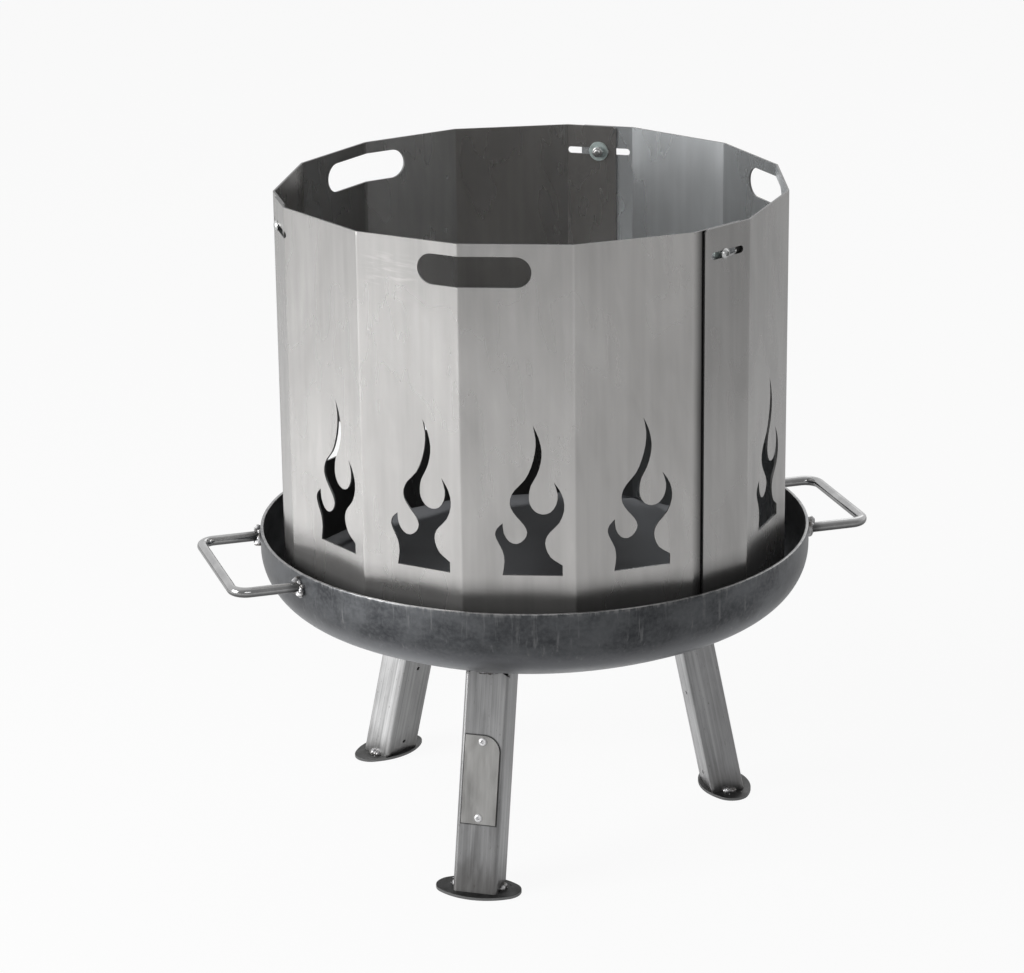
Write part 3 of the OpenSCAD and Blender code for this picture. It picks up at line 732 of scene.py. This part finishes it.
def leg_weld_piece(which, seed):
    """The bead where a leg's outer face meets the bowl, with three lumps on it."""
    at = leg_frame(which)
    across = at.to_3x3() @ Vector((0, 1, 0))
    bm = bmesh.new()
    x = LEG_T / 2 + 0.0002
    top = leg_top(which, x)
    line = [at @ Vector((x, (k / 8 - 0.5) * LEG_BEAD_L, top - 0.0004)) for k in range(9)]
    bead(bm, line, 0.0026, 34, 16, 0.13, 0.22, seed, up=at.to_3x3() @ Vector((1, 0, 0)))
    for k in range(3):
        a = at @ Vector((x, random.uniform(-0.009, 0.009), top - 0.0014))
        bead(bm, [a - across * 0.0022, a + across * 0.0022], 0.0022, 10, 12, 0.0, 0.25, seed + k)
    name = "leg_weld_" + which
    return finish_piece("bead_" + name, to_mesh(name, bm), name, looks["dark_weld"], 60)


def foot_welds_piece(which, seed):
    """Two short beads on the foot plate beside the leg, each with two drops of spatter."""
    turn, reach = LEGS[which][:2]
    to_world = Matrix.Rotation(math.radians(turn), 4, "Z")
    bm = bmesh.new()
    for side in (-1, 1):
        shift = random.uniform(-0.0015, 0.0015)
        line = []
        for t in (-1, -0.5, 0, 0.5, 1):
            y = side * (LEG_W / 2 + 0.0009 + 0.0004 * t * t)
            line.append(to_world @ Vector((reach + shift + 0.0072 * t, y, FOOT_T + 0.0006)))
        bead(bm, line, 0.0037, 26, 18, 0.09, 0.2, seed + side)
        for k in range(2):
            x = reach + random.uniform(-0.012, 0.012)
            y = side * (LEG_W / 2 + random.uniform(0.005, 0.009))
            spot = to_world @ Vector((x, y, FOOT_T + 0.0002))
            bead(bm, [spot, spot + Vector((0.0006, 0.0002, 0))], 0.0007, 8, 10, 0.0, 0.2, seed + k)
    for v in bm.verts:
        v.co.z = max(v.co.z, 0.0004)
    name = "foot_welds_" + which
    return finish_piece("beads_" + name, to_mesh(name, bm), name, looks["bright_weld"], 60)


def handle_welds_piece(side, seed):
    """Uneven blobs all round the ends of a handle's two arms."""
    turn, width, shift = HANDLES[side]
    to_world = Matrix.Rotation(math.radians(turn + HANDLE_TURN), 4, "Z")
    away = to_world.to_3x3() @ Vector((1, 0, 0))
    bm = bmesh.new()

    def spot(arm, a, out, lift):
        y = arm + out * math.cos(a)
        return to_world @ Vector((math.sqrt(BOWL_R ** 2 - y ** 2) + lift, y, BAR_Z + out * math.sin(a)))

    for i in (-1, 1):
        arm = shift + i * width / 2
        ring = [spot(arm, 2 * math.pi * k / 24 + 0.6, BAR_R + 0.0005, 0.0013) for k in range(25)]
        bead(bm, ring, 0.0034, 60, 14, 0.10, 0.30, seed + i, up=away)
        for k in range(6):
            main = k < 2
            a = (math.pi / 2, -0.7)[k] if main else random.uniform(0, 2 * math.pi)
            out = BAR_R + random.uniform(0.0010, 0.0024)
            at = spot(arm, a, out, 0.0026 if main else random.uniform(0.0004, 0.0030))
            way = to_world.to_3x3() @ Vector((random.uniform(-0.4, 0.8), -math.sin(a), math.cos(a))) * 0.0020
            thick = 0.0046 if main else random.uniform(0.0022, 0.0032)
            bead(bm, [at - way, at + way], thick, 18, 18, 0.05, 0.42, seed + 7 * k, up=away)
    name = "handle_welds_" + side
    return finish_piece("beads_" + name, to_mesh(name, bm), name, looks["bright_weld"], 60)


# Fasteners

def joint_frame(which):
    """A frame on the outer sheet's face at a joint, with Z pointing away from the guard."""
    turn, out, s = JOINTS[which]
    return (Matrix.Rotation(math.radians(turn), 4, "Z") @ Matrix.Translation((LAP_R + out, s, SLOT_Z))
            @ Matrix.Rotation(math.radians(90), 4, "Y"))


def bolt_head(bm, at, turn):
    """A button head: a dome whose hexagon socket has the second material, a near-black painted shade."""
    steps = 48
    dome_r = (HEAD_R ** 2 + HEAD_H ** 2) / (2 * HEAD_H)
    profile = [(SHANK_R - 0.0001, 0.0), (HEAD_R - 0.0003, 0.0), (HEAD_R - 0.00005, 0.00012), (HEAD_R, 0.0004)]
    for k in range(1, 13):
        r = HEAD_R + (0.00262 - HEAD_R) * k / 12
        profile.append((r, max(0.0004, HEAD_H - dome_r + math.sqrt(dome_r ** 2 - r * r))))
    rings = lathe(bm, profile, steps, at)
    top = profile[-1][1]
    socket = []
    for depth, flats in ((0.0, 0.00415), (0.00035, 0.0040), (0.0020, 0.0040)):
        points = hexagon(flats, 1.13 * flats / 2, turn, top - depth, steps)
        socket.append([bm.verts.new(at @ p) for p in points])
    base = bm.verts.new(at @ Vector((0, 0, top - 0.0026)))
    for k, (a, b) in enumerate(zip([rings[-1]] + socket, socket)):
        for i in range(steps):
            j = (i + 1) % steps
            bm.faces.new((a[i], b[i], b[j], a[j])).material_index = min(k, 1)
    for i in range(steps):
        bm.faces.new((socket[-1][i], base, socket[-1][(i + 1) % steps])).material_index = 1


def bolt_shank(bm, at):
    """Rings that sink by one pitch a turn, and join as the thread's helix."""
    steps = 24
    shape = ((0.0, 0.00298), (0.30, 0.00298), (0.5, 0.00250), (0.70, 0.00250))
    n = len(shape)
    rows = []
    for k in range(int(SHANK_L / PITCH) * n + 1):
        share, thread_r = shape[k % n]
        row = []
        for i in range(steps):
            z = -((k // n) + share + i / steps) * PITCH + 0.0002
            r = min(thread_r, 0.0024) if z < -SHANK_L + 0.0006 else thread_r
            row.append(bm.verts.new(at @ polar(r, 2 * math.pi * i / steps, max(z, -SHANK_L))))
        rows.append(row)
    for k in range(len(rows) - 1):
        for i in range(steps):
            j = (i + 1) % steps
            if j:
                bm.faces.new((rows[k][i], rows[k + 1][i], rows[k + 1][j], rows[k][j]))
            elif k + n + 1 < len(rows):
                bm.faces.new((rows[k][i], rows[k + 1][i], rows[k + 1 + n][0], rows[k + n][0]))
    bm.faces.new([bm.verts.new(at @ p) for p in circle(0.0022, -SHANK_L, steps)])


def bolt_piece(which):
    """Button head with a hexagon socket, and a shank with a real thread."""
    at = joint_frame(which)
    bm = bmesh.new()
    bolt_head(bm, at, random.uniform(0, 1.0))
    bolt_shank(bm, at)
    name = "bolt_" + which
    obj = finish_piece("threaded_" + name, to_mesh(name, bm), name, looks["zinc"], 40)
    obj.data.materials.append(looks["socket"])
    return obj


def washer_piece(which):
    """A plain washer with rounded edges."""
    low = -(SHEET + LAP) - 2 * FIT - WASHER_T
    high = low + WASHER_T
    e = 0.00025
    line = [(BORE_R, low + e), (BORE_R + e, low), (WASHER_R - 2 * e, low),
            (WASHER_R - 0.6 * e, low + 0.4 * e), (WASHER_R, low + 2 * e), (WASHER_R, high - e),
            (WASHER_R - e, high), (BORE_R + e, high), (BORE_R, high - e), (BORE_R, low + e)]
    bm = bmesh.new()
    lathe(bm, line, 64, joint_frame(which))
    bmesh.ops.remove_doubles(bm, verts=bm.verts, dist=1e-7)
    name = "washer_" + which
    return weighted(finish_piece("rounded_" + name, to_mesh(name, bm), name, looks["washer"], 50))


def nut_piece(which):
    """Hexagon nut, chamfered at both ends and inside."""
    at = joint_frame(which)
    high = -(SHEET + LAP) - 3 * FIT - WASHER_T
    low = high - NUT_T
    steps, turn = 72, random.uniform(0, 1.0)
    bore, mouth, face_r, corner = 0.0031, 0.0035, 0.0047, NUT_FLATS / 2 / math.cos(math.radians(30))
    chamfer = ((0.0002, 0.0051), (0.0005, 0.0054), (0.0008, corner))
    rows = [circle(bore, low + 0.0006, steps), circle(mouth, low, steps), circle(face_r, low, steps)]
    rows += [hexagon(NUT_FLATS, bound, turn, low + depth, steps) for depth, bound in chamfer]
    rows += [hexagon(NUT_FLATS, bound, turn, high - depth, steps) for depth, bound in reversed(chamfer)]
    rows += [circle(face_r, high, steps), circle(mouth, high, steps), circle(bore, high - 0.0006, steps),
             circle(bore, low + 0.0006, steps)]
    bm = bmesh.new()
    loft(bm, [[at @ p for p in row] for row in rows], False)
    bmesh.ops.remove_doubles(bm, verts=bm.verts, dist=1e-7)
    name = "nut_" + which
    return finish_piece("chamfered_" + name, to_mesh(name, bm), name, looks["zinc"], 28)


def rivets_piece():
    """Blind rivets: a low rolled head with an open middle and the broken stem inside."""
    line = [(0, -0.0071), (0.0016, -0.0070), (0.00195, -0.0065), (0.00195, 0.0), (0.0039, 0.0),
            (0.0040, 0.00015), (0.0039, 0.0005), (0.0035, 0.0010), (0.0029, 0.0014), (0.0023, 0.00165),
            (0.0019, 0.0016), (0.0016, 0.0012), (0.0015, 0.0004), (0.0015, -0.0012), (0.0010, -0.0012),
            (0.0009, -0.0006), (0, -0.0005)]
    outward = Matrix.Rotation(math.radians(90), 4, "Y")
    bm = bmesh.new()
    for i in (-1, 1):
        place = Matrix.Translation((LEG_T / 2 + PLATE_T, 0, PLATE_UP + i * RIVET_GAP / 2))
        here = leg_frame("front") @ place @ outward
        lathe(bm, line, 40, here)
        back = here.inverted()
        # the open middle and the stem get the second material, a near-black painted shade
        for face in bm.faces:
            middle = back @ face.calc_center_median()
            if math.hypot(middle.x, middle.y) < 0.00165 and -0.002 < middle.z < 0.002:
                face.material_index = 1
    mesh = to_mesh("rivets", bm)
    obj = finish_piece("blind_rivets", mesh, "rivets", looks["rivet_metal"], 45)
    obj.data.materials.append(looks["socket"])
    return obj


def eased(name, width, slot_name, look=None, angle=40):
    """The node's own shape with its sharp edges eased, as filed or rolled metal has them."""
    bm = node_solid(name)
    hard = [e for e in bm.edges if len(e.link_faces) == 2 and e.calc_face_angle(0) > math.radians(angle)]
    bmesh.ops.bevel(bm, geom=hard, offset=width, offset_type="OFFSET", segments=2, profile=0.6,
                    affect="EDGES", clamp_overlap=True)
    bmesh.ops.triangulate(bm, faces=[f for f in bm.faces if len(f.verts) > 4])
    mesh = to_mesh(name, bm, False)
    return weighted(finish_piece(name + "_eased", mesh, name, look or looks[slot_name], 35))


node_body = {n: b for b, members in frame["record"]["behaviour"]["bodies"].items() for n in members}
bowl_piece()
for k, which in enumerate(("front", "right", "left")):
    leg_weld_piece(which, 10 + k)
    foot_welds_piece(which, 20 + k)
    eased("foot_" + which, 0.0004, "foot_plate")
    eased("leg_" + which, 0.0003, "leg_tube", looks["leg_" + which], 50)
for k, side in enumerate(HANDLES):
    handle_welds_piece(side, 29 + 2 * k)
for name in SHEETS:
    sheet_piece(name)
for which in JOINTS:
    bolt_piece(which)
    washer_piece(which)
    nut_piece(which)
rivets_piece()
eased("name_plate", 0.0003, "plate_sheet")


# Stage

class Tree:
    """Short calls for the nodes of the floor and the world."""

    def __init__(self, owner):
        owner.use_nodes = True
        self.tree = owner.node_tree
        self.tree.nodes.clear()

    def node(self, kind, *values):
        """A node whose inputs are set or joined in their order; None leaves one as it is."""
        n = self.tree.nodes.new("ShaderNode" + kind)
        for socket, value in zip(n.inputs, values):
            if isinstance(value, bpy.types.NodeSocket):
                self.tree.links.new(value, socket)
            elif value is not None:
                socket.default_value = value
        return n

    def math(self, kind, *values):
        n = self.node("Math", *values)
        n.operation = kind
        return n.outputs[0]


WHITE = (1, 1, 1, 1)


def floor():
    """Pale paper. The camera sees it close to white, with the object's shadow left on it."""
    mesh = bpy.data.meshes.new("floor")
    half = 12.0
    corners = [(x * half, y * half, -0.0002) for x, y in ((-1, -1), (1, -1), (1, 1), (-1, 1))]
    mesh.from_pydata(corners, [], [(0, 1, 2, 3)])
    obj = bpy.data.objects.new("floor", mesh)
    scene.collection.objects.link(obj)
    paper = bpy.data.materials.new("floor_paper")
    t = Tree(paper)
    path = t.node("LightPath").outputs
    seen = t.math("MAXIMUM", path["Is Camera Ray"], path["Is Transmission Ray"])
    share = t.math("ADD", t.math("MULTIPLY", seen, 0.93), t.math("MULTIPLY", path["Is Glossy Ray"], 0.30))
    lit = t.node("BsdfDiffuse", (0.86, 0.86, 0.86, 1)).outputs[0]
    white = t.node("Emission", WHITE, 1.0).outputs[0]
    t.node("OutputMaterial", t.node("MixShader", share, lit, white).outputs[0])
    mesh.materials.append(paper)


def world():
    """White where the camera looks. Metal shows that white too, and a dimmer room on the camera's side."""
    scene.world = bpy.data.worlds.new("studio")
    t = Tree(scene.world)
    path = t.node("LightPath").outputs
    seen = t.math("MAXIMUM", path["Is Camera Ray"], path["Is Transmission Ray"])
    way = t.node("SeparateXYZ", t.node("TexCoord").outputs["Generated"]).outputs
    back = t.node("MapRange", way["Y"], -0.75, 0.35, 0.36, 1.0)
    back.interpolation_type = "SMOOTHSTEP"
    room = t.math("MAXIMUM", back.outputs[0], seen)
    strength = t.math("MAXIMUM", t.math("MULTIPLY", path["Is Glossy Ray"], room), seen)
    light = t.math("MAXIMUM", strength, 0.22)
    t.node("OutputWorld", t.node("Background", WHITE, light).outputs[0])


def lamp(name, place, aim, size, watts):
    """A rectangular area light that the camera doesn't see."""
    light = bpy.data.lights.new(name, "AREA")
    light.shape = "RECTANGLE"
    light.size, light.size_y = size
    light.energy = watts
    obj = bpy.data.objects.new(name, light)
    scene.collection.objects.link(obj)
    obj.location = place
    obj.visible_camera = False
    obj.rotation_euler = (Vector(aim) - Vector(place)).to_track_quat("-Z", "Y").to_euler()


def camera():
    """The photograph's viewpoint: place, heading, downward tilt and roll in the part's frame."""
    place = Vector((-0.81094, -3.24992, 1.47523))
    heading, tilt, roll = (math.radians(a) for a in (-13.6327, 18.6016, -0.6638))
    ahead = Vector((-math.sin(heading) * math.cos(tilt), math.cos(heading) * math.cos(tilt), -math.sin(tilt)))
    right = Vector((math.cos(heading), math.sin(heading), 0))
    up = right.cross(ahead)
    x = right * math.cos(roll) + up * math.sin(roll)
    y = up * math.cos(roll) - right * math.sin(roll)
    data = bpy.data.cameras.new("camera")
    data.sensor_width = 36
    data.sensor_fit = "HORIZONTAL"
    data.lens = 123.984
    obj = bpy.data.objects.new("camera", data)
    scene.collection.objects.link(obj)
    turn = Matrix((x, y, -ahead)).transposed().to_4x4()
    obj.matrix_world = Matrix.Translation(place) @ turn
    scene.camera = obj


camera()
world()
floor()
lamp("key", (-2.9, -0.4, 1.30), (-0.1, 0.0, 0.30), (1.6, 1.6), 80)
lamp("front", (-0.5, -2.3, 1.3), (-0.2, -1.3, 0.0), (1.2, 0.8), 7)
lamp("back", (1.6, 2.2, 2.2), (0, 0, 0.4), (1.6, 1.6), 8)
scene.view_settings.view_transform = "Standard"
